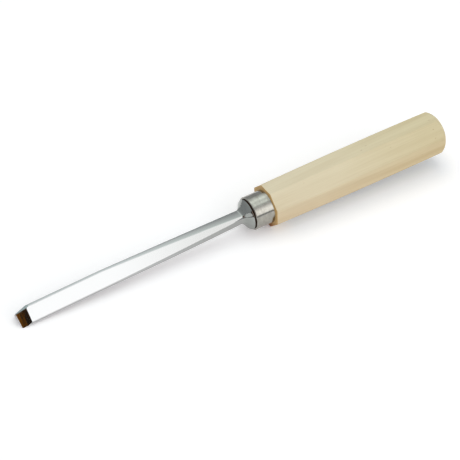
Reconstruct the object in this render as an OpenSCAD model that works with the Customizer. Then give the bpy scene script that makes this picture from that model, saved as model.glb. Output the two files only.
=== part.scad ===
// Carving v-tool: forged blade with vee, shank, bolster and tang, a plated
// ferrule and an eight-sided wooden handle. Millimetres, +Z up, keel upward.
// The tool's axis is X, with the cutting edge at -X and the butt at +X. The
// origin lies on that axis, half way along the ferrule.

/* [Vee] */
// Included angle between the two wings
vee_angle = 75; // [65:1:90]
// Length of the vee, from the cutting edge to the crown where the shank begins
vee_len = 49.5; // [45:0.5:70]
// Width across the wings at the cutting edge
vee_w_tip = 11.7; // [11:0.1:14]
// Width across the wings at the crown
vee_w_crown = 11.6; // [11:0.1:14]
// Thickness of each wing
wing_wall = 1.7; // [1.4:0.1:2.2]
// Height of a wing's lower edge, from its outer corner to the mouth, at the cutting edge
wing_edge_tip = 1.8; // [1.4:0.05:2.4]
// Height of a wing's lower edge, from its outer corner to the mouth, at the crown
wing_edge_crown = 2.0; // [1.4:0.05:2.4]
// Width of the flat along the keel
keel_flat = 1.5; // [0.8:0.1:2.2]
// Width of the chamfer under a wing's lower edge, at the cutting edge
edge_chamfer = 0.45; // [0.2:0.05:0.8]
// Height of the keel above the tool's axis at the cutting edge
keel_z_tip = 3.75; // [3.5:0.05:5]
// Height of the keel above the tool's axis at the crown
keel_z_crown = 5.6; // [5:0.05:6.5]
// Included angle of the channel: a little wider than the vee, so the wings thin towards the mouth
channel_angle = 77; // [65:1:92]
// Half width of the small flat at the bottom of the channel
channel_flat = 0.35; // [0.2:0.05:0.8]
// Rise of the channel's floor from the cutting edge to the crown
channel_rise = 0.4; // [0:0.1:1]
// Radius of the grinding wheel that leaves the channel's run-out
channel_wheel_r = 45; // [30:1:60]

/* [Cutting edge] */
// Bevel angle on the wings
wing_bevel = 17; // [15:0.5:25]
// Bevel angle on the keel
keel_bevel = 19.5; // [17:0.5:28]
// Lean of the cutting edge towards the handle, down each wing
edge_rake = 2; // [0:0.5:8]

/* [Shank] */
// Length of the blade, from its seat on the handle to the cutting edge
blade_len = 139.9; // [125:0.1:160]
// Width of the shank where it meets the bolster
shank_w = 7.2; // [6.5:0.1:9]
// Height of the shank's top above the tool's axis where it meets the bolster
shank_top = 3.2; // [2.5:0.05:3.6]
// Depth of the shank's underside below the tool's axis where it meets the bolster
shank_under = 3.1; // [2.5:0.05:3.6]
// Distance from the tool's axis to the upper chamfer faces at the bolster
shank_chamfer = 4.2; // [3.6:0.05:4.4]
// Distance from the tool's axis to the lower chamfer faces at the bolster
shank_underchamfer = 3.75; // [3.2:0.05:4.2]
// Bow of the shank's top line between bolster and crown
shank_top_bow = 0.3; // [0:0.05:0.8]
// Bow of the shank's side lines between bolster and crown
shank_side_bow = 0.2; // [0:0.05:0.6]

/* [Bolster] */
// Diameter of the bolster's rim
bolster_d = 18; // [15:0.1:20]
// Thickness of the bolster's rim
bolster_rim = 0.3; // [0.3:0.1:1.6]
// Length of the bolster, from its seat to the start of its flare on the shank
bolster_len = 4.4; // [3.5:0.1:9]
// Curve of the flare: 1 is straight, more is a deeper trumpet
bolster_curve = 1.25; // [1:0.05:3]

/* [Tang] */
// Length of the tang inside the handle
tang_len = 64; // [45:1:90]
// Width of the square tang at the bolster
tang_w = 7; // [5:0.1:9]
// Width of the square tang at its far end
tang_end = 3.5; // [2:0.1:5]
// Clearance on each side of the tang in its hole
tang_clear = 0.1; // [0.05:0.01:0.2]

/* [Ferrule] */
// Length of the ferrule
ferrule_len = 11.4; // [8:0.1:15]
// Outside diameter of the ferrule
ferrule_d = 19.6; // [18.5:0.1:22]
// Wall of the ferrule
ferrule_wall = 1.0; // [0.8:0.05:1.8]
// Radius of the ferrule's rounded front rim
ferrule_round = 0.6; // [0.4:0.05:0.8]
// Chamfer on the ferrule's rear rim
ferrule_chamfer = 0.3; // [0.1:0.05:0.5]
// Clearance between the ferrule and the handle's spigot
ferrule_clear = 0.03; // [0.01:0.01:0.1]

/* [Handle] */
// Length of the eight-sided part of the handle
handle_len = 118.8; // [100:0.1:140]
// Width across opposite flats at the ferrule
handle_front = 24.2; // [23:0.1:27]
// Width across opposite flats at the butt
handle_rear = 25.9; // [24:0.1:30]
// Bow of each flat along the handle
handle_bow = 0.44; // [0:0.02:1]
// How much nearer to the axis the four slanting flats lie than the others
diagonal_inset = 0.2; // [0:0.05:0.6]
// Radius of the rounded edge of the butt
butt_round = 6.8; // [1:0.1:9]
// How far the wooden spigot stands out of the ferrule
spigot_proud = 0.7; // [0.3:0.05:1.2]

/* [Hidden] */
$fn = 96;
// Number of straight steps along a bowed line
bow_steps = 16;
// Number of straight steps along the bolster's flare, and the share of the shank's size at which it starts
flare_steps = 12;
flare_start = 0.97;
// Reach of the solids that are trimmed by others: more than any of them needs
reach = blade_len;
// Angle between the points of a rounded edge
arc_step = 7.5;
// Half the angle between neighbouring flats of the handle
corner_angle = 22.5;
// How far the turned spigot runs into the eight-sided part
spigot_root = 1;
// Room in the hole beyond the tang's far end
hole_room = 2;

// Stations along the tool's axis
ferrule_front_x = -ferrule_len / 2;
shoulder_x = ferrule_len / 2;
seat_x = ferrule_front_x - spigot_proud;
butt_x = shoulder_x + handle_len;
tip_x = seat_x - blade_len;
crown_x = tip_x + vee_len;
root_x = seat_x - bolster_len;
rim_x = seat_x - bolster_rim;
// Middle of the bolster's rim, where shank, flare and tang meet inside it
core_x = seat_x - bolster_rim / 2;

// Slope of the wings, and the ridge in which their outer faces would meet
wing_slope = 90 - vee_angle / 2;
slope_rise = tan(wing_slope);
ridge_tip = keel_z_tip + slope_rise * keel_flat / 2;
ridge_crown = keel_z_crown + slope_rise * keel_flat / 2;
ridge_root = shank_chamfer / cos(wing_slope);

// Radius of the turned shape that rounds the flare's edges, where it starts on the shank
shank_corner = norm([shank_w / 2, shank_top]);

// Mouth of the vee: the plane of the wings' lower edges
mouth_tip = ridge_tip - slope_rise * vee_w_tip / 2 - wing_edge_tip;
mouth_crown = ridge_crown - slope_rise * vee_w_crown / 2 - wing_edge_crown;

// Ridge below the shank in which its lower chamfers would meet
under_root = -shank_underchamfer / cos(wing_slope);
under_tip = mouth_tip - slope_rise * (vee_w_tip / 2 - edge_chamfer);

// Floor of the channel, as the line in which its two faces would meet
channel_tip = ridge_tip - wing_wall / cos(wing_slope);
channel_pitch = atan(channel_rise / vee_len);

// Handle and spigot
spigot_r = ferrule_d / 2 - ferrule_wall - ferrule_clear;
tang_hole_end = seat_x + tang_len + hole_room;
spigot_end = shoulder_x + spigot_root;

// Parabola from a at u = 0 to b at u = 1, bowed out by bow half way
function bowed(a, b, bow, u) = a + (b - a) * u + 4 * bow * u * (1 - u);

// Line from [xa, a] to [xb, b], bowed out by bow, as points
function bowed_line(xa, a, xb, b, bow) =
  [for (i = [0 : bow_steps]) [xa + (xb - xa) * i / bow_steps, bowed(a, b, bow, i / bow_steps)]];

// A list of points from its last to its first, with every second value negated
function mirrored(points) = [for (i = [len(points) - 1 : -1 : 0]) [points[i][0], -points[i][1]]];

// Outline in the XZ plane, carried across the tool
module side_block(outline) {
  rotate([90, 0, 0]) linear_extrude(height = 2 * reach, center = true) polygon(outline);
}

// Outline in the XY plane, carried up and down
module plan_block(outline) {
  linear_extrude(height = 2 * reach, center = true) polygon(outline);
}

// Profile of [x, r] points turned about the tool's axis
module turned(profile) {
  rotate([0, 90, 0]) rotate_extrude() polygon([for (p = profile) [p[1], p[0]]]);
}

// Roof of two faces at the wings' slope, its ridge from [xa, za] to [xb, zb]
module roof(xa, za, xb, zb) {
  length = norm([xb - xa, zb - za]);
  pitch = atan2(zb - za, xb - xa);
  translate([xa, 0, za]) rotate([0, -pitch, 0]) translate([-reach, 0, 0]) rotate([90, 0, 90])
    linear_extrude(height = length + 2 * reach)
      polygon([[0, 0], [reach, -reach * slope_rise], [-reach, -reach * slope_rise]]);
}

// Vee and shank without channel or bevels: top line, side lines, chamfers above and below
module blade_blank() {
  top_line = concat([[tip_x, keel_z_tip]],
    bowed_line(crown_x, keel_z_crown, root_x, shank_top, shank_top_bow), [[core_x, shank_top]]);
  under_line = [[core_x, -shank_under], [root_x, -shank_under],
    [crown_x, mouth_crown], [tip_x, mouth_tip]];
  side_line = concat([[tip_x, vee_w_tip / 2]],
    bowed_line(crown_x, vee_w_crown / 2, root_x, shank_w / 2, shank_side_bow), [[core_x, shank_w / 2]]);
  intersection() {
    side_block(concat(top_line, under_line));
    plan_block(concat(side_line, mirrored(side_line)));
    roof(tip_x, ridge_tip, crown_x, ridge_crown);
    roof(crown_x, ridge_crown, root_x, ridge_root);
    mirror([0, 0, 1]) roof(tip_x, -under_tip, root_x, -under_root);
  }
}

// Channel inside the vee: a straight groove, ended by the shape of the grinding wheel
module channel() {
  foot = channel_wheel_r;
  half_foot = channel_flat + foot * tan(channel_angle / 2);
  translate([tip_x, 0, channel_tip - slope_rise * channel_flat]) rotate([0, -channel_pitch, 0]) {
    translate([-reach, 0, 0]) rotate([90, 0, 90]) linear_extrude(height = reach + vee_len)
      polygon([[-channel_flat, 0], [channel_flat, 0], [half_foot, -foot], [-half_foot, -foot]]);
    translate([vee_len, 0, -channel_wheel_r]) rotate([90, 0, 0]) rotate_extrude()
      polygon([[0, -half_foot], [channel_wheel_r, -channel_flat],
        [channel_wheel_r, channel_flat], [0, half_foot]]);
  }
}

// Everything outside the bevel of the wing on one side
module wing_bevel_cut(side) {
  mirror([0, side < 0 ? 1 : 0, 0]) translate([tip_x, 0, channel_tip]) rotate([-wing_slope, 0, 0])
    rotate([0, 0, -edge_rake]) rotate([0, -wing_bevel, 0])
      translate([-reach / 2, -reach / 2, 0]) cube([2 * reach, reach, reach]);
}

// Everything above the bevel of the keel
module keel_bevel_cut() {
  translate([tip_x, 0, channel_tip - slope_rise * channel_flat]) rotate([0, -keel_bevel, 0])
    translate([-reach / 2, -reach / 2, 0]) cube([2 * reach, reach, reach]);
}

// Faces of the shank beside the bolster: [angle from +Y, distance from the tool's axis]
shank_faces = [
  [0, shank_w / 2], [90 - wing_slope, shank_chamfer], [90, shank_top], [90 + wing_slope, shank_chamfer],
  [180, shank_w / 2], [270 - wing_slope, shank_underchamfer], [270, shank_under],
  [270 + wing_slope, shank_underchamfer]];

// Line of [x, r] points that flares from r at the shank to the bolster's rim, and on into it
function flare_line(r) = concat([for (i = [0 : flare_steps]) let (u = i / flare_steps)
  [root_x + (rim_x - root_x) * u, r + (bolster_d / 2 - r) * pow(u, bolster_curve)]],
  [[core_x, bolster_d / 2]]);

// The shank's faces flare out to the bolster's rim, inside a turned shape that rounds the edges between them
module bolster_flare() {
  intersection() {
    intersection_for(face = shank_faces) {
      rotate([face[0] - 90, 0, 0])
        side_block(concat(flare_line(flare_start * face[1]), [[core_x, -reach], [root_x, -reach]]));
    }
    turned(concat([[root_x, 0]], flare_line(shank_corner), [[core_x, 0]]));
  }
}

// Square tang that narrows from near_x to far_x, grown by a clearance on each side
module tang_shape(near_x, far_x, clear) {
  taper = [for (x = [near_x, far_x])
    [x, tang_w / 2 + clear - (tang_w - tang_end) / 2 * (x - seat_x) / tang_len]];
  intersection() {
    side_block(concat(taper, mirrored(taper)));
    plan_block(concat(taper, mirrored(taper)));
  }
}

// Forged blade: vee, shank, bolster and tang in one piece
module blade() {
  color([0.80, 0.82, 0.83]) union() {
    difference() {
      blade_blank();
      channel();
      wing_bevel_cut(1);
      wing_bevel_cut(-1);
      keel_bevel_cut();
    }
    bolster_flare();
    turned([[rim_x, 0], [rim_x, bolster_d / 2], [seat_x, bolster_d / 2], [seat_x, 0]]);
    tang_shape(core_x, seat_x + tang_len, 0);
  }
}

// Ferrule: plated tube with a rounded front rim
module ferrule() {
  outer = ferrule_d / 2;
  inner = outer - ferrule_wall;
  front_rim = [for (a = [0 : arc_step : 90])
    [ferrule_front_x + ferrule_round * (1 - sin(a)), outer - ferrule_round * (1 - cos(a))]];
  color([0.74, 0.75, 0.72]) turned(concat(
    [[ferrule_front_x, inner], [shoulder_x, inner]],
    [[shoulder_x, outer - ferrule_chamfer], [shoulder_x - ferrule_chamfer, outer]],
    front_rim));
}

// One pair of opposite flats, bowed along the handle
module handle_slab(inset) {
  line = bowed_line(shoulder_x, handle_front / 2 - inset, butt_x, handle_rear / 2 - inset, handle_bow);
  side_block(concat(line, mirrored(line)));
}

// Handle: eight flats, rounded butt, spigot for the ferrule and hole for the tang
module handle() {
  corner_r = handle_rear / 2 / cos(corner_angle);
  butt_edge = [for (a = [90 : -arc_step : 0])
    [butt_x - butt_round * (1 - cos(a)), corner_r - butt_round * (1 - sin(a))]];
  color([0.86, 0.81, 0.69]) difference() {
    union() {
      intersection() {
        handle_slab(0);
        rotate([90, 0, 0]) handle_slab(0);
        rotate([45, 0, 0]) handle_slab(diagonal_inset);
        rotate([-45, 0, 0]) handle_slab(diagonal_inset);
        turned(concat([[shoulder_x, 0], [shoulder_x, 2 * corner_r], [butt_x - butt_round, 2 * corner_r]],
          butt_edge, [[butt_x, 0]]));
      }
      turned([[seat_x, 0], [seat_x, spigot_r], [spigot_end, spigot_r], [spigot_end, 0]]);
    }
    tang_shape(seat_x, tang_hole_end, tang_clear);
  }
}

blade();
ferrule();
handle();
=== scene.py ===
"""Carving v-tool lying on a white table: polished steel blade, plated ferrule and
eight-sided hardwood handle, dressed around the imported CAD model. Metres, +Z up."""

import bpy
import numpy as np
from mathutils import Matrix, Vector


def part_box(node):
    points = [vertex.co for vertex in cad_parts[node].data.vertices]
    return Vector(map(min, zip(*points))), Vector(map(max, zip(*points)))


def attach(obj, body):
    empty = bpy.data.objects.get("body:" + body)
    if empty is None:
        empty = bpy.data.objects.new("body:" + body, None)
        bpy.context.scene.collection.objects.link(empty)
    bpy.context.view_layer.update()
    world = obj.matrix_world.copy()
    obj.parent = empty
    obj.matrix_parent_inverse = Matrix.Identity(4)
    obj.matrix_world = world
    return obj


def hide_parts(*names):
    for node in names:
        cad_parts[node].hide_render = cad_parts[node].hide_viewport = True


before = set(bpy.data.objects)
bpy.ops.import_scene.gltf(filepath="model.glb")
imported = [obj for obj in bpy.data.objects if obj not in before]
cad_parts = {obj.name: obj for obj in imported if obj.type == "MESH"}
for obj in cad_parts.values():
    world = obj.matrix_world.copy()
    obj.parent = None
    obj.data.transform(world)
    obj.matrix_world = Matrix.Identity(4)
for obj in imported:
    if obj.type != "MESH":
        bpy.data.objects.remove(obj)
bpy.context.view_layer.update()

# Blade
# One forging of tool steel: the vee, the chamfered shank, the round bolster and the square
# tang inside the handle. It is ground, mirror polished lengthwise, and bevelled at the edge.
mm = 0.001
tip_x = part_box("blade")[0].x
tang_end_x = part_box("blade")[1].x
seat_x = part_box("handle")[0].x
vee_len = 49.5 * mm
crown_x = tip_x + vee_len
root_x = seat_x - 4.4 * mm
rim_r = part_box("blade")[1].y
rim_turn = 0.3 * mm

half_vee = np.radians(37.5)
wing_fall = 1 / np.tan(half_vee)
half_tip = 5.85 * mm
half_crown = 5.8 * mm
half_root = 3.6 * mm
side_bow = 0.2 * mm
keel_half = 0.75 * mm
keel_tip = 3.75 * mm
keel_crown = 5.6 * mm
keel_arch = 0.05
top_root = 3.2 * mm
top_bow = 0.3 * mm
ridge_tip = keel_tip + wing_fall * keel_half
ridge_crown = keel_crown + wing_fall * keel_half
chamfer_root = 4.2 * mm
under_chamfer_root = 3.75 * mm
ridge_root = chamfer_root / np.sin(half_vee)
mouth_tip = ridge_tip - wing_fall * half_tip - 1.8 * mm
mouth_crown = ridge_crown - wing_fall * half_crown - 2.0 * mm
under_root = -3.1 * mm
side_tip = 1.2 * mm
side_crown = 1.3 * mm
side_root = 3.6 * mm
least_chamfer = 0.12 * mm
facet_x = seat_x - 12 * mm
facet_end_x = seat_x - 6 * mm
facet_depth = 0.16 * mm
facet_tilt = np.radians(24)
facet_facing = np.array([np.cos(facet_tilt), np.sin(facet_tilt)])
wing_rise = 1.7 * mm / np.sin(half_vee)
apex_tip = ridge_tip - wing_rise
channel_spread = np.tan(np.radians(38.5))
floor_half = 0.35 * mm
floor_tip = apex_tip - wing_fall * floor_half
floor_rise = 0.4 * mm
wheel_r = 45 * mm
least_channel = 0.6 * mm

wing_bevel = np.radians(17)
keel_bevel = np.radians(19.5)
edge_rake = np.radians(2)
bevel_width = 5.8 * mm
bevel_crown = 0.6 * mm
down_wing = np.array([0, np.sin(half_vee), -np.cos(half_vee)])
out_of_wing = np.array([0, np.cos(half_vee), np.sin(half_vee)])
bevel_lean = np.cos(wing_bevel) * out_of_wing + np.sin(wing_bevel) * np.sin(edge_rake) * down_wing
bevel_lean /= np.sin(wing_bevel) * np.cos(edge_rake)


def bowed(start, end, bow, u):
    """Parabola from start at u = 0 to end at u = 1, pushed out by bow half way."""
    return start + (end - start) * u + 4 * bow * u * (1 - u)


def blade_corners(x):
    """Corners of half a cross-section at stations x, as y and z. A wing falls from the ridge by wing_fall times
    its way out, and the lower chamfer slopes alike. In order: keel's middle and edge, wing's foot, side's
    foot, edge of the underside, mouth of the channel, edge and middle of the channel's floor. Past the
    crown the channel is what a grinding wheel leaves: its floor drops along the wheel's circle."""
    vee = np.clip((x - tip_x) / vee_len, 0, 1)
    shank = np.clip((x - crown_x) / (root_x - crown_x), 0, 1)
    in_vee = x < crown_x
    top = np.where(in_vee, bowed(keel_tip, keel_crown, 0, vee), bowed(keel_crown, top_root, top_bow, shank))
    half = np.where(in_vee, bowed(half_tip, half_crown, 0, vee), bowed(half_crown, half_root, side_bow, shank))
    ridge = np.interp(x, [tip_x, crown_x, root_x], [ridge_tip, ridge_crown, ridge_root])
    under = np.interp(x, [tip_x, crown_x, root_x], [mouth_tip, mouth_crown, under_root])
    wing_foot = ridge - wing_fall * half
    side_foot = wing_foot - np.interp(x, [tip_x, crown_x, root_x], [side_tip, side_crown, side_root])
    chamfer = np.maximum((side_foot - under) / wing_fall, least_chamfer)
    floor = floor_tip + floor_rise * vee
    run_out = np.clip(x - crown_x, 0, wheel_r)
    face = wheel_r - np.hypot(wheel_r - (floor - under), run_out)
    mouth = floor_half + channel_spread * np.maximum(face, least_channel)
    floor = np.maximum(floor - wheel_r + np.sqrt(wheel_r**2 - run_out**2), under)
    middle = np.zeros_like(x)
    corners = [(middle, top), ((ridge - top) / wing_fall, top), (half, wing_foot), (half, side_foot),
               (half - chamfer, under), (mouth, under), (floor_half + middle, floor), (middle, floor)]
    return np.stack([np.stack(corner, -1) for corner in corners], -2)


def half_ring(faces):
    """Weights that place the points of half a ring between its corners. Each face has its steps as shares
    of its length; between two faces one point is a quarter, a half and a quarter of end, corner and end."""
    rows = []
    corners = np.eye(len(faces) + 1)
    for number, shares in enumerate(faces):
        points = np.outer(1 - shares, corners[number]) + np.outer(shares, corners[number + 1])
        if rows:
            rows.append(0.25 * rows[-1][-1:] + 0.5 * corners[number : number + 1] + 0.25 * points[:1])
        rows.append(points)
    return np.concatenate(rows)


def bevel_start(points):
    """Where the lengthwise lines through points (y, z) begin at the cutting edge: on the plane of the wing's
    bevel or on that of the keel's, whichever lies further back."""
    wing = (points - (0, apex_tip)) @ bevel_lean[1:]
    keel = (points[..., 1] - floor_tip) / np.tan(keel_bevel)
    return tip_x + np.maximum(wing, keel)


# Point of the wing, out from the middle, where the keel's bevel meets the wing's
crease_y = (ridge_tip - floor_tip) / np.tan(keel_bevel) - bevel_lean[2] * wing_rise
crease_y /= wing_fall / np.tan(keel_bevel) + bevel_lean[1] - bevel_lean[2] * wing_fall
crease = (crease_y - keel_half) / (half_tip - keel_half)

keel_steps = np.linspace(0, 0.9, 5)
wing_steps = np.concatenate([[0.015, crease], np.linspace(0.12, 0.80, 10), np.linspace(0.84, 0.985, 6)])
side_steps = np.concatenate([[0.02, 0.05, 0.08], np.linspace(0.14, 0.95, 7)])
chamfer_steps = np.linspace(0.25, 0.75, 7)
land_steps = np.linspace(0.1, 0.9, 6)
channel_steps = np.linspace(0.015, 0.985, 12)
floor_steps = np.linspace(0.2, 1, 4)
weights = half_ring([keel_steps, wing_steps, side_steps, chamfer_steps, land_steps, channel_steps, floor_steps])
keel_arches = keel_arch * np.where(np.arange(len(weights)) < len(keel_steps),
                                   1 - np.resize(keel_steps, len(weights)) ** 2, 0)
crease_point = len(keel_steps) + 2
inner_crease_point = len(weights) - len(floor_steps) - 1


def blade_points(x):
    """Points of half rings at stations x, as y and z. The keel is arched a little, by a share of its half width.
    Near the bolster the edge between the upper chamfer and the side is cut by a plane that sinks in steadily, so
    what lies past the plane goes back to it: a narrow facet that widens."""
    corners = blade_corners(x)
    points = np.einsum("mj,...mjc->...mc", weights, corners)
    points[..., 1] += keel_arches * corners[..., 1, 0]
    depth = facet_depth * np.clip((x - facet_x) / (facet_end_x - facet_x), 0, 1)
    over = np.maximum(points @ facet_facing - corners[..., 2, :] @ facet_facing + depth, 0)
    return points - over[..., None] * facet_facing


def blade_rows():
    """Rings of half the blade as (row, point, xyz), from the bevels to the tang's end. Vee and shank follow
    blade_points. On the bolster each face of the shank flares out, along a parabola round the neck's bend and then
    straight: the radius is the soft minimum of each face's distance over the cosine of the angle to it, kept
    inside a turned shape that rounds the edges between the faces, and inside the rim with a soft edge. The
    tang is a square that narrows. Both keep the shank's angles."""
    tip_points = blade_points(np.full(len(weights), tip_x))
    for _ in range(3):
        start = bevel_start(tip_points)
        tip_points = blade_points(start)
    joined_x = tip_x + 14 * mm
    tip_x_rows = start + np.linspace(0, 1, 5)[:, None] * (joined_x - start)
    bend_x = seat_x - 4.2 * mm
    flare_len = 3.7 * mm
    fillet = 0.32
    neck_x = bend_x - fillet * flare_len
    stations = np.concatenate([np.linspace(joined_x, crown_x, 12), np.linspace(crown_x, neck_x, 42)[1:]])[1:]
    x = np.concatenate([tip_x_rows, np.repeat(stations[:, None], len(weights), 1)])
    shaft = np.concatenate([x[..., None], blade_points(x)], -1)

    flare_x = np.linspace(neck_x, seat_x - rim_turn, 61)[1:, None]
    section = blade_points(np.repeat(flare_x, len(weights), 1))
    shank_r = np.linalg.norm(section, axis=-1)
    angle = np.arctan2(section[..., 1], section[..., 0])
    away = (flare_x - bend_x) / flare_len
    flare = np.where(away < fillet, (away + fillet) ** 2 / (4 * fillet), away)
    face_angle = np.array([0, half_vee, np.pi / 2, -half_vee, -np.pi / 2])
    face_root = np.array([half_root, chamfer_root, top_root, under_chamfer_root, -under_root])
    facing = np.maximum(np.cos(angle[..., None] - face_angle), 0)

    def soft_section(distance):
        """Radius of a section whose faces lie at these distances from the axis."""
        sharp = 40
        return ((facing / distance) ** sharp).sum(-1) ** (-1 / sharp)

    flared = soft_section((face_root + (rim_r - face_root) * flare)[:, None])
    corner_r = np.hypot(half_root, top_root)
    flare_r = np.minimum(shank_r + flared - soft_section(face_root), corner_r + (rim_r - corner_r) * flare)
    rim_edge = 24
    flare_r = (flare_r**-rim_edge + (1.02 * rim_r) ** -rim_edge) ** (-1 / rim_edge)
    widened = section * (flare_r / shank_r)[..., None]
    bolster = np.concatenate([flare_x[..., None] + 0 * widened[..., :1], widened], -1)
    angle = angle[-1]

    turn = np.radians(np.linspace(10, 80, 6))
    rim = np.stack([seat_x + rim_turn * (np.sin(turn) - 1), rim_turn * (np.cos(turn) - 1)], -1)
    square = 1 / np.maximum(np.abs(np.cos(angle)), np.abs(np.sin(angle)))
    tang = np.array([[seat_x, 3.5], [tang_end_x - 0.4 * mm, 1.76], [tang_end_x, 1.4]])
    r = np.concatenate([flare_r[-1] + rim[:, 1:], tang[:, 1:] * mm * square])
    x = np.concatenate([rim[:, 0], tang[:, 0]])[:, None] + 0 * r
    rear = np.stack([x, r * np.cos(angle), r * np.sin(angle)], -1)
    return np.concatenate([shaft, bolster, rear])


def ring_quads(rows, columns, first=0):
    """Four-sided faces between neighbouring rings of points, each ring closed on itself."""
    index = first + np.arange(rows * columns).reshape(rows, columns)
    after = np.roll(index, -1, 1)
    return np.stack([index[:-1], index[1:], after[1:], after[:-1]], -1).reshape(-1, 4)


def piece(name, points, faces, uv, materials, body_faces=None):
    """A mesh object of the object itself, smooth but for its real edges. uv has a pair for each face's corner,
    in metres. Faces from number body_faces on take the second material."""
    mesh = bpy.data.meshes.new(name)
    mesh.from_pydata(points.tolist(), [], faces)
    mesh.uv_layers.new(name="grind").data.foreach_set("uv", np.asarray(uv, np.float32).ravel())
    for material in materials:
        mesh.materials.append(material)
    second = np.arange(len(faces)) >= (len(faces) if body_faces is None else body_faces)
    mesh.polygons.foreach_set("material_index", second.astype(np.int32))
    mesh.polygons.foreach_set("use_smooth", np.ones(len(faces), bool))
    mesh.set_sharp_from_angle(angle=np.radians(28))
    mesh.update()
    made = bpy.data.objects.new(name, mesh)
    bpy.context.collection.objects.link(made)
    weighted = made.modifiers.new("flat faces keep their normals", "WEIGHTED_NORMAL")
    weighted.keep_sharp = True
    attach(made, "root")
    return made


class Wire:
    """One output socket of a material. Arithmetic on wires and numbers adds Math nodes."""

    def __init__(self, tree, socket=None):
        self.tree = tree
        self.socket = socket

    def node(self, kind, settings=None, inputs=None, output=0, stops=()):
        """Any node: its type, its settings, a ramp's stops, its inputs' values or wires, and the output wanted."""
        made = self.tree.nodes.new("ShaderNode" + kind)
        for name, value in (settings or {}).items():
            setattr(made, name, value)
        for number, (place, colour) in enumerate(stops):
            ramp = made.color_ramp.elements
            stop = ramp[number] if number < 2 else ramp.new(place)
            stop.position = place
            stop.color = colour
        for name, value in (inputs or {}).items():
            if isinstance(value, Wire):
                self.tree.links.new(value.socket, made.inputs[name])
            else:
                made.inputs[name].default_value = value
        return Wire(self.tree, made.outputs[output])

    def math(self, operation, *values):
        """A Math node of that operation on values or wires."""
        return self.node("Math", {"operation": operation}, dict(enumerate(values)))

    def __add__(self, other):
        return self.math("ADD", self, other)

    def __sub__(self, other):
        return self.math("SUBTRACT", self, other)

    def __rsub__(self, other):
        return self.math("SUBTRACT", other, self)

    def __mul__(self, other):
        return self.math("MULTIPLY", self, other)

    __radd__ = __add__
    __rmul__ = __mul__

    def smooth(self, low, high, to_low=0.0, to_high=1.0):
        """A smooth step: to_low where this value is under low, to_high where it is over high."""
        values = {"Value": self, "From Min": low, "From Max": high, "To Min": to_low, "To Max": to_high}
        return self.node("MapRange", {"interpolation_type": "SMOOTHSTEP"}, values)

    def colours(self, low, high):
        """A colour between low at 0 and high at 1."""
        return self.node("Mix", {"data_type": "RGBA"}, {0: self, 6: low, 7: high}, 2)

    def noise(self, place, scale, detail=2.0, roughness=0.5):
        """Noise on a place that is first stretched by scale, per metre along each axis. About 0 to 1."""
        stretched = self.node("Mapping", None, {"Vector": place, "Scale": scale})
        return self.node("TexNoise", None, {"Vector": stretched, "Scale": 1.0, "Detail": detail,
                                            "Roughness": roughness})


def srgb(red, green, blue):
    """A colour from 0 to 255 as a screen shows it, in the renderer's linear light."""
    shown = np.array([red, green, blue]) / 255
    linear = np.where(shown <= 0.04045, shown / 12.92, ((shown + 0.055) / 1.055) ** 2.4)
    return (*linear.tolist(), 1.0)


def surface(name, constants):
    """A new material with these constants on its shader, and a wire to start its nodes from."""
    material = bpy.data.materials.new(name)
    material.use_nodes = True
    tree = material.node_tree
    shader = tree.nodes["Principled BSDF"]
    for socket, value in constants.items():
        shader.inputs[socket].default_value = value

    def feed(socket, wire):
        """Link a wire to a socket of the shader."""
        tree.links.new(wire.socket, shader.inputs[socket])

    return material, Wire(tree), feed


def polished_steel():
    """Mirror-polished steel with the faint lengthwise lines of the polishing belt, darker towards the bolster."""
    material, wire, feed = surface("polished_steel", {"Metallic": 1.0})
    grind = wire.node("UVMap", {"uv_map": "grind"})
    along = wire.node("SeparateXYZ", None, {0: grind})
    darker_to_root = along.smooth(crown_x, root_x).colours(srgb(183, 184, 184), srgb(164, 165, 163))
    feed("Base Color", along.smooth(root_x - 2 * mm, root_x + 1 * mm).colours(darker_to_root, srgb(157, 160, 156)))
    lines = wire.noise(grind, (35, 4200, 1), 3, 0.6)
    cloud = wire.noise(grind, (60, 160, 1), 2)
    feed("Roughness", 0.05 + 0.06 * lines + 0.06 * cloud)
    feed("Normal", wire.node("Bump", None, {"Strength": 0.05, "Distance": 0.02 * mm, "Height": lines}))
    return material


def honed_bevel():
    """The honed bevel: a mirror that the stone has left a little round across, with lines along the edge."""
    colour = srgb(174, 185, 184)
    material, wire, feed = surface("honed_bevel", {"Base Color": colour, "Metallic": 1.0})
    grind = wire.node("UVMap", {"uv_map": "grind"})
    split = wire.node("SeparateXYZ", None, {0: grind}, 1)
    lines = wire.noise(grind, (60, 800, 1), 3, 0.6)
    across = split * (1 / bevel_width) - 0.5
    height = 0.20 * lines - 0.5 * across * across
    feed("Roughness", 0.07 + 0.10 * lines)
    feed("Normal", wire.node("Bump", None, {"Strength": 1.0, "Distance": bevel_crown, "Height": height}))
    return material


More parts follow.
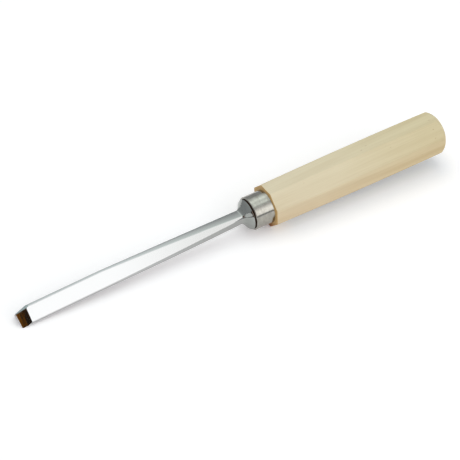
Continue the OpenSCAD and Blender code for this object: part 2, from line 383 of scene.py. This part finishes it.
def blade_piece():
    """The whole blade: half rings mirrored into closed rings, three bevels at the tip and the tang's end."""
    half = blade_rows()
    rows = len(half)
    mirrored = half[:, -2:0:-1] * (1, -1, 1)
    rings = np.concatenate([half, mirrored], 1)
    around = rings.shape[1]
    step = np.linalg.norm(np.diff(half, axis=1)[..., 1:], axis=-1)
    across = np.concatenate([np.zeros((rows, 1)), np.cumsum(step, 1)], 1)
    across = np.concatenate([across, across[:, -2:0:-1]], 1)
    uv = np.stack([rings[..., 0], across], -1).reshape(-1, 2)
    quads = ring_quads(rows, around)

    ring = np.arange(around)
    wing = ring[crease_point : inner_crease_point + 1]
    far_wing = ring[around - inner_crease_point : around - crease_point + 1]
    keel = np.concatenate([ring[around - crease_point :], ring[: crease_point + 1],
                           ring[inner_crease_point : around - inner_crease_point + 1]])
    end = ((rows - 1) * around + ring)[::-1]
    points = rings.reshape(-1, 3)

    def bevel_uv(face):
        """Along the cutting edge and across the bevel, with both wings folded on to one side."""
        place = points[face] * (1, 1, 1)
        place[:, 1] = np.abs(place[:, 1])
        place -= (tip_x, 0, apex_tip)
        back = np.array([1, 0, 0])
        along = np.sin(edge_rake) * back + np.cos(edge_rake) * down_wing
        across = np.cos(edge_rake) * back - np.sin(edge_rake) * down_wing
        return np.stack([place @ along, place @ (np.cos(wing_bevel) * across + np.sin(wing_bevel) * out_of_wing)], -1)

    caps = [wing, far_wing, keel]
    faces = quads.tolist() + [end.tolist()] + [cap.tolist() for cap in caps]
    corner_uv = np.concatenate([uv[quads.ravel()], uv[end]] + [bevel_uv(cap) for cap in caps])
    made = piece("vee_blade", points, faces, corner_uv, [polished_steel(), honed_bevel()], len(quads) + 1)
    ends = np.empty(2 * len(made.data.edges), np.int32)
    made.data.edges.foreach_get("vertices", ends)
    on_bevels = (ends.reshape(-1, 2) < around).all(1)
    sharp = made.data.attributes["sharp_edge"].data
    turned_edge = np.empty(len(on_bevels), bool)
    sharp.foreach_get("value", turned_edge)
    sharp.foreach_set("value", turned_edge | on_bevels)
    return made


blade = blade_piece()
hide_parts("blade")

# Ferrule
# A short steel tube pressed on to the handle's spigot, so that the wood doesn't split. It is
# turned, its front rim is rolled in, and it is nickel plated and buffed round and round.
ferrule_front_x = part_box("ferrule")[0].x
shoulder_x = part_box("ferrule")[1].x
ferrule_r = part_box("ferrule")[1].y
ferrule_bore_r = ferrule_r - 1.0 * mm


def turned_rows(profile, around):
    """Points of a profile of (x, radius) pairs turned about the tool's axis."""
    angle = np.linspace(0, 2 * np.pi, around, endpoint=False)
    x, r = profile[:, :1], profile[:, 1:]
    return np.stack([x + 0 * angle, r * np.cos(angle), r * np.sin(angle)], -1)


def quarter(x, r, radius, start, steps=7):
    """A quarter circle about (x, r), from the angle start onwards by 90 degrees, as (x, radius) pairs."""
    angle = np.radians(start + np.linspace(0, 90, steps))
    return np.stack([x + radius * np.cos(angle), r + radius * np.sin(angle)], -1)


def nickel_plate():
    """Buffed nickel: a dull olive grey, with faint lines round the tube and a few soft smears along it."""
    material, wire, feed = surface("nickel_plate", {"Metallic": 1.0})
    grind = wire.node("UVMap", {"uv_map": "grind"})
    lines = wire.noise(grind, (25, 3600, 1), 3, 0.6)
    smear = wire.noise(grind, (260, 420, 1), 3, 0.6).smooth(0.35, 0.7)
    feed("Base Color", smear.colours(srgb(166, 164, 156), srgb(153, 150, 142)))
    feed("Roughness", 0.07 + 0.06 * lines + 0.07 * smear)
    relief = lines + 1.5 * smear
    feed("Normal", wire.node("Bump", None, {"Strength": 0.15, "Distance": 0.03 * mm, "Height": relief}))
    return material


def ferrule_piece():
    """The tube's closed profile, bore first, with a rolled front rim and a rear edge that pressing on the handle
    has opened a little, turned once."""
    rear = 0.1 * mm
    opened = 0.12 * mm
    opening = 1.1 * mm
    front = 0.5 * mm
    bore_ease = 0.15 * mm
    bore = np.stack([np.linspace(ferrule_front_x + bore_ease, shoulder_x, 4), np.full(4, ferrule_bore_r)], -1)
    outer_x = np.concatenate([shoulder_x - rear - opening * np.linspace(0.02, 1, 9),
                              np.linspace(shoulder_x - 2 * opening, ferrule_front_x + 1.1 * front, 4)])
    lift = opened * np.maximum(1 - (shoulder_x - rear - outer_x) / opening, 0) ** 2
    outer = np.stack([outer_x, ferrule_r + lift], -1)
    rear_edge = quarter(shoulder_x - rear, ferrule_r + opened - rear, rear, 0)
    front_edge = quarter(ferrule_front_x + front, ferrule_r - front, front, 90, 11)
    front_face = np.array([[ferrule_front_x, ferrule_bore_r + bore_ease]])
    profile = np.concatenate([bore, rear_edge, outer, front_edge, front_face])
    around = 192
    closed = np.concatenate([profile, profile[:1]])
    travel = np.concatenate([[0], np.cumsum(np.linalg.norm(np.diff(closed, axis=0), axis=1))])
    index = np.arange(len(profile) * around).reshape(len(profile), around)
    index = np.concatenate([index, index[:1]])
    index = np.concatenate([index, index[:, :1]], 1)
    faces = np.stack([index[:-1, :-1], index[1:, :-1], index[1:, 1:], index[:-1, 1:]], -1).reshape(-1, 4)
    girth = np.linspace(0, 2 * np.pi * ferrule_r, around + 1)
    place = np.stack(np.broadcast_arrays(girth, travel[:, None]), -1)
    uv = np.stack([place[:-1, :-1], place[1:, :-1], place[1:, 1:], place[:-1, 1:]], -2)
    points = turned_rows(profile, around).reshape(-1, 3)
    return piece("plated_ferrule", points, faces.tolist(), uv.reshape(-1, 2), [nickel_plate()])


ferrule = ferrule_piece()
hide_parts("ferrule")

# Handle
# Pale close-grained hardwood, planed to eight bowed flats with eased edges and a rounded butt.
# A turned spigot carries the ferrule, and a tapered square hole holds the tang.
butt_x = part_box("handle")[1].x
spigot_r = ferrule_bore_r - 0.03 * mm
flat_front = 12.1 * mm
flat_rear = 12.95 * mm
flat_bow = 0.44 * mm
diagonal_inset = 0.2 * mm
butt_round = 6.8 * mm
spigot_chamfer = 1.2 * mm
hole_end_x = tang_end_x + 2.0 * mm


def octagon(x, angle):
    """Radius of the eight-sided section at stations x: the soft minimum of each flat's distance over the cosine
    of the angle to it. The distances bow along the handle, and every second flat lies a little nearer."""
    reach = bowed(flat_front, flat_rear, flat_bow, (x - shoulder_x) / (butt_x - shoulder_x))[:, None, None]
    number = np.arange(8)
    facing = np.maximum(np.cos(angle[:, None] - number * np.pi / 4), 0)
    sharp = 200
    share = facing * reach / (reach - diagonal_inset * (number % 2))
    return reach[..., 0] * (share**sharp).sum(-1) ** (-1 / sharp)


def handle_piece():
    """One skin of rings from the bottom of the tang's hole, over the spigot, the shoulder and the flats, to the
    butt, whose edge is a quarter circle that the flats run into."""
    around = 576
    angle = np.linspace(0, 2 * np.pi, around, endpoint=False)
    square = 1 / np.maximum(np.abs(np.cos(angle)), np.abs(np.sin(angle)))
    ease = 0.3 * mm
    hole = np.array([[hole_end_x, 1.8 * mm], [seat_x, 3.6 * mm]])
    spigot = np.array([[seat_x, spigot_r - spigot_chamfer], [seat_x + spigot_chamfer, spigot_r],
                       [shoulder_x, spigot_r]])
    edge_x = shoulder_x + np.array([0, 0.3, 1]) * ease
    edge_r = octagon(edge_x, angle) - ease * np.array([[1], [0.3], [0]])
    turn = np.radians(np.linspace(90, 0, 15))
    flat_x = np.concatenate([np.linspace(shoulder_x + 2 * ease, butt_x - butt_round, 30),
                             butt_x - butt_round * (1 - np.cos(turn[1:]))])
    corner_r = flat_rear / np.cos(np.pi / 8)
    limit = np.concatenate([np.full(30, 2 * corner_r), corner_r - butt_round * (1 - np.sin(turn[1:]))])
    flat_r = np.minimum(octagon(flat_x, angle), limit[:, None])
    x = np.concatenate([hole[:, 0], spigot[:, 0], edge_x, flat_x])
    r = np.concatenate([hole[:, 1:] * square, spigot[:, 1:] + 0 * angle, edge_r, flat_r])
    points = np.stack([x[:, None] + 0 * r, r * np.cos(angle), r * np.sin(angle)], -1)
    rows = len(x)
    quads = ring_quads(rows, around)[:, ::-1]
    ring = np.arange(around)
    bottom = ring[::-1]
    butt = (rows - 1) * around + ring
    # Per ring: 2 for the hole and the spigot, which take the painted shade of the gap, 1 for the shoulder's end
    # grain, fading out over the edge, and a little on the butt's rounding.
    end_grain_and_gap_shade = np.concatenate([[2, 2, 2, 2, 1, 1, 0.7, 0.1], np.zeros(30), np.linspace(0, 0.12, 14)])
    uv = points[..., [0, 1]].reshape(-1, 2)
    corner_uv = np.concatenate([uv[quads.ravel()], uv[bottom], uv[butt]])
    faces = quads.tolist() + [bottom.tolist(), butt.tolist()]
    made = piece("octagon_handle", points.reshape(-1, 3), faces, corner_uv, [waxed_hardwood()])
    shade = made.data.attributes.new("end_grain_and_gap_shade", "FLOAT", "POINT")
    shade.data.foreach_set("value", np.repeat(end_grain_and_gap_shade, around).astype(np.float32))
    return made


def waxed_hardwood():
    """Pale, even hardwood: cream near the ferrule and yellower towards the butt, with a painted shade that makes it
    darker and tanner on its lower side. Fine fibres run along it, growth rings show as faint arches, and there are a
    few brown flecks. The end grain at the shoulder is orange, with a painted shade that makes it browner below, and
    the spigot is painted near black where it looks out of the ferrule, a painted shade in the gap."""
    material, wire, feed = surface("waxed_hardwood", {"Specular IOR Level": 0.3})
    place = wire.node("TexCoord", output="Object")
    split = wire.node("SeparateXYZ", None, {0: place})
    along = Wire(split.tree, split.socket.node.outputs[0])
    sideways = Wire(split.tree, split.socket.node.outputs[1])
    height = Wire(split.tree, split.socket.node.outputs[2])
    drift = wire.noise(place, (14, 60, 60), 2) - 0.5
    out = (height - sideways) * 0.7071 + along * 0.035 + 0.052 + 0.004 * drift
    beside = (height + sideways) * 0.7071 + 0.004
    ring = wire.math("SQRT", out * out + beside * beside)
    late = wire.math("PINGPONG", ring * 420, 1).smooth(0.1, 0.9)
    fibre = wire.noise(place, (26, 1500, 1500), 3, 0.6)
    streak = wire.noise(place, (8, 330, 330), 3, 0.55)
    cloud = wire.noise(place, (22, 70, 70), 2)
    tone = (0.10 * late + 0.35 * streak + 0.35 * fibre + 0.25 * cloud).smooth(0.2, 0.85)
    butt = along.smooth(shoulder_x, butt_x)
    light = butt.colours(srgb(233, 221, 193), srgb(225, 212, 176))
    dark = butt.colours(srgb(217, 200, 166), srgb(206, 189, 148))
    pale = tone.colours(light, dark)
    # Painted shade: the lower side is multiplied darker and warmer.
    under = height.smooth(9 * mm, -2 * mm)
    pale_and_painted_under_shade = under.colours(pale, pale.node("Mix", {"data_type": "RGBA", "blend_type": "MULTIPLY"},
                                           {0: 1.0, 6: pale, 7: (0.93, 0.86, 0.79, 1)}, 2))
    fleck = wire.noise(place, (240, 1100, 1100), 1).smooth(0.79, 0.83)
    flecked = (0.6 * fleck).colours(pale_and_painted_under_shade, srgb(158, 118, 62))
    orange = fibre.colours(srgb(226, 190, 130), srgb(198, 152, 88))
    # Painted shade: the end grain turns browner towards the bottom.
    orange_with_painted_shade = height.smooth(-5 * mm, -11 * mm).colours(orange, srgb(158, 94, 44))
    end = wire.node("Attribute", {"attribute_name": "end_grain_and_gap_shade"}, None, "Fac")
    ended = end.smooth(0, 1).colours(flecked, orange_with_painted_shade)
    # Painted shade in the gap: where the attribute is 2 the wood is painted near black.
    feed("Base Color", end.smooth(1.2, 1.8).colours(ended, srgb(66, 44, 28)))
    feed("Roughness", 0.48 + 0.14 * fibre)
    feed("Normal", wire.node("Bump", None, {"Strength": 0.2, "Distance": 0.04 * mm, "Height": fibre}))
    return material


handle = handle_piece()
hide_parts("handle")

# Table
# The white table that the tool lies on. The tool touches it with the two wings' corners at the
# cutting edge and with the front edge of the handle, so the table slopes against the tool's axis.
touch_front = Vector((tip_x, 0, mouth_tip))
touch_rear = Vector((shoulder_x, 0, -flat_front))
slope = (touch_rear - touch_front).normalized()
table_half = 3.0
corners = [touch_front + slope * along + Vector((0, across, 0))
           for along, across in ((-table_half, -table_half), (table_half, -table_half),
                                 (table_half, table_half), (-table_half, table_half))]
table_mesh = bpy.data.meshes.new("table")
table_mesh.from_pydata(corners, [], [(0, 1, 2, 3)])
table = bpy.data.objects.new("table", table_mesh)
bpy.context.collection.objects.link(table)

table_material = bpy.data.materials.new("white_table")
table_material.use_nodes = True
table_tree = table_material.node_tree
table_tree.nodes.clear()
table_wire = Wire(table_tree)
spot = table_wire.node("TexCoord", output="Object")
far = table_wire.node("VectorMath", {"operation": "LENGTH"}, {0: spot}, 1).smooth(0.30, 0.60)
seen = (table_wire.node("LightPath", output="Is Camera Ray") + table_wire.node("LightPath", output="Is Glossy Ray")
        + table_wire.node("LightPath", output="Is Transmission Ray"))
# Round a line in front of the handle a shadow is painted on the sheet, which is toned down there. The wood throws a
# warm light there, and the painted shadow makes the shade grey and deeper. It follows the distance from the line.
painted_shadow_middle_x = 68 * mm
painted_shadow_half = 48 * mm
painted_shadow_y = -4 * mm
painted_shadow_reach = 30 * mm
end_fall = 1.3
spot_x = table_wire.node("SeparateXYZ", None, {0: spot}, 0)
spot_y = table_wire.node("SeparateXYZ", None, {0: spot}, 1)
along_line = table_wire.math("ABSOLUTE", spot_x - painted_shadow_middle_x)
past_line = table_wire.math("MAXIMUM", along_line - painted_shadow_half, 0.0) * end_fall
off_line = spot_y - painted_shadow_y
from_line = table_wire.math("SQRT", past_line * past_line + off_line * off_line)
# The ramp's colours are the painted shadow: darkest and bluest next to the line, fading to the sheet's white.
white = table_wire.node("ValToRGB", None, {0: from_line * (1 / painted_shadow_reach)}, stops=[
    (0.07, (0.77, 0.815, 0.89, 1)), (0.35, (0.85, 0.865, 0.905, 1)),
    (0.63, (0.935, 0.92, 0.93, 1)), (1.0, (0.995, 0.967, 0.968, 1))])
sheet = far.colours(white, (0.36, 0.36, 0.37, 1))
matt = table_wire.node("BsdfDiffuse", None, {"Color": sheet})
glow = table_wire.node("Emission", None, {"Color": sheet, "Strength": 0.20 * seen})
both = table_wire.node("AddShader", None, {0: matt, 1: glow})
output = table_tree.nodes.new("ShaderNodeOutputMaterial")
table_tree.links.new(both.socket, output.inputs["Surface"])
table_mesh.materials.append(table_material)

# Studio
# A wide cool light overhead and behind, a warm white card at the camera's right that the wings
# mirror, a dark flag at its left that glows dim orange and that the bevels mirror, and a dim room.


def panel(name, place, aim, width, height, radiance, colour, fades):
    """A bright rectangle of that width and height at a place, facing an aim. For each of its fades, an axis and
    pairs of a coordinate in metres and a share, the light follows the shares along that axis, eased between them."""
    light = bpy.data.lights.new(name, "AREA")
    light.shape = "RECTANGLE"
    light.size = width
    light.size_y = height
    light.energy = radiance * np.pi * width * height
    light.color = colour
    light.use_nodes = True
    wire = Wire(light.node_tree)
    strength = 1.0
    for axis, shares in fades.items():
        spot = wire.node("SeparateXYZ", None, {0: wire.node("NewGeometry", output="Position")}, axis)
        first, last = shares[0][0], shares[-1][0]
        level = (spot - first) * (1 / (last - first))
        stops = [((at - first) / (last - first), (share, share, share, 1)) for at, share in shares]
        strength = strength * wire.node("ValToRGB", None, {0: level}, stops=stops)
    light.node_tree.links.new(strength.socket, light.node_tree.nodes["Emission"].inputs["Strength"])
    made = bpy.data.objects.new(name, light)
    bpy.context.collection.objects.link(made)
    made.location = place
    made.rotation_euler = (Vector(place) - Vector(aim)).to_track_quat("Z", "Y").to_euler()
    made.visible_camera = False


panel("overhead", (0.0, 0.35, 0.9), (0.0, 0.35, 0.0), 1.3, 1.8, 1.08, (0.91, 1.0, 0.965), {
    "X": [(-0.65, 0.2), (-0.45, 0.25), (-0.05, 0.9), (0.10, 1.0), (0.45, 1.0), (0.65, 0.1)],
    "Y": [(-0.55, 0.1), (-0.36, 0.4), (-0.18, 1.0), (0.07, 0.75), (0.30, 1.2), (0.62, 0.65), (0.85, 0.55),
          (1.25, 0.3)]})
panel("white_card", (0.22, -0.67, 0.46), (0.0, 0.0, 0.0), 0.83, 0.80, 1.62, (1.0, 0.985, 0.98), {
    "X": [(-0.2, 1.0), (0.6, 0.88)],
    "Z": [(0.10, 0.3), (0.17, 1.0), (0.42, 1.0), (0.60, 0.55), (0.75, 0.15)]})

flag_towards = Vector((-0.39, -0.82, 0.42)).normalized()
flag_place = Vector((tip_x, 0, 0)) + flag_towards * 0.7
flag_turn = flag_towards.to_track_quat("Z", "Y").to_matrix()
flag_half = 0.26
flag_left = -2.2
flag_corners = np.array([(flag_left, -1, 0), (1, -1, 0), (1, 1, 0), (flag_left, 1, 0)]) * flag_half
flag_mesh = bpy.data.meshes.new("dark_flag")
flag_mesh.from_pydata((flag_corners @ np.array(flag_turn).T + np.array(flag_place)).tolist(), [], [(0, 1, 2, 3)])
flag_layer = flag_mesh.uv_layers.new(name="spread")
flag_layer.data.foreach_set("uv", (flag_corners[:, :2] / flag_half).astype(np.float32).ravel())
# The flag glows, dim brown at its ends and orange between, and only reflections see it.
flag_material, flag_wire, flag_feed = surface("dark_flag", {"Base Color": (0, 0, 0, 1), "Specular IOR Level": 0,
                                                            "Emission Strength": 1.0})
flag_spread = flag_wire.node("SeparateXYZ", None, {0: flag_wire.node("UVMap", {"uv_map": "spread"})})
flag_orange = flag_spread.smooth(-1.2, -0.8) * flag_spread.smooth(0.1, -0.3)
flag_feed("Emission Color", flag_orange.colours(srgb(28, 22, 18), srgb(150, 86, 12)))
flag_mesh.materials.append(flag_material)
flag = bpy.data.objects.new("dark_flag", flag_mesh)
bpy.context.collection.objects.link(flag)
flag.visible_camera = False
flag.visible_diffuse = False
flag.visible_shadow = False

room = bpy.data.worlds.new("room")
room.use_nodes = True
room_tree = room.node_tree
room_wire = Wire(room_tree)
room_spot = room_wire.node("SeparateXYZ", None, {0: room_wire.node("TexCoord", output="Generated")}, 2)
room_colour = room_spot.smooth(0.0, 0.6).colours((0.46, 0.475, 0.495, 1), (0.525, 0.545, 0.56, 1))
room_tree.links.new(room_colour.socket, room_tree.nodes["Background"].inputs["Color"])
bpy.context.scene.world = room

# Camera
# A long lens above and in front of the cutting edge, which looks down at the ferrule. It is rolled
# a little, so that the tool lies across the picture as it does in the photo.
camera_place = Vector((-0.26581, -0.44183, 0.47331))
camera_aim = Vector((-0.02092, -0.00556, 0.0))
camera_roll = np.radians(-2.85)
camera_data = bpy.data.cameras.new("camera")
camera_data.lens = 98.66
camera_data.sensor_width = 36
camera = bpy.data.objects.new("camera", camera_data)
bpy.context.collection.objects.link(camera)
facing = (camera_aim - camera_place).to_track_quat("-Z", "Y").to_matrix()
turned = facing @ Matrix.Rotation(camera_roll, 3, "Z")
camera.matrix_world = Matrix.Translation(camera_place) @ turned.to_4x4()
bpy.context.scene.camera = camera
bpy.context.scene.view_settings.view_transform = "Standard"
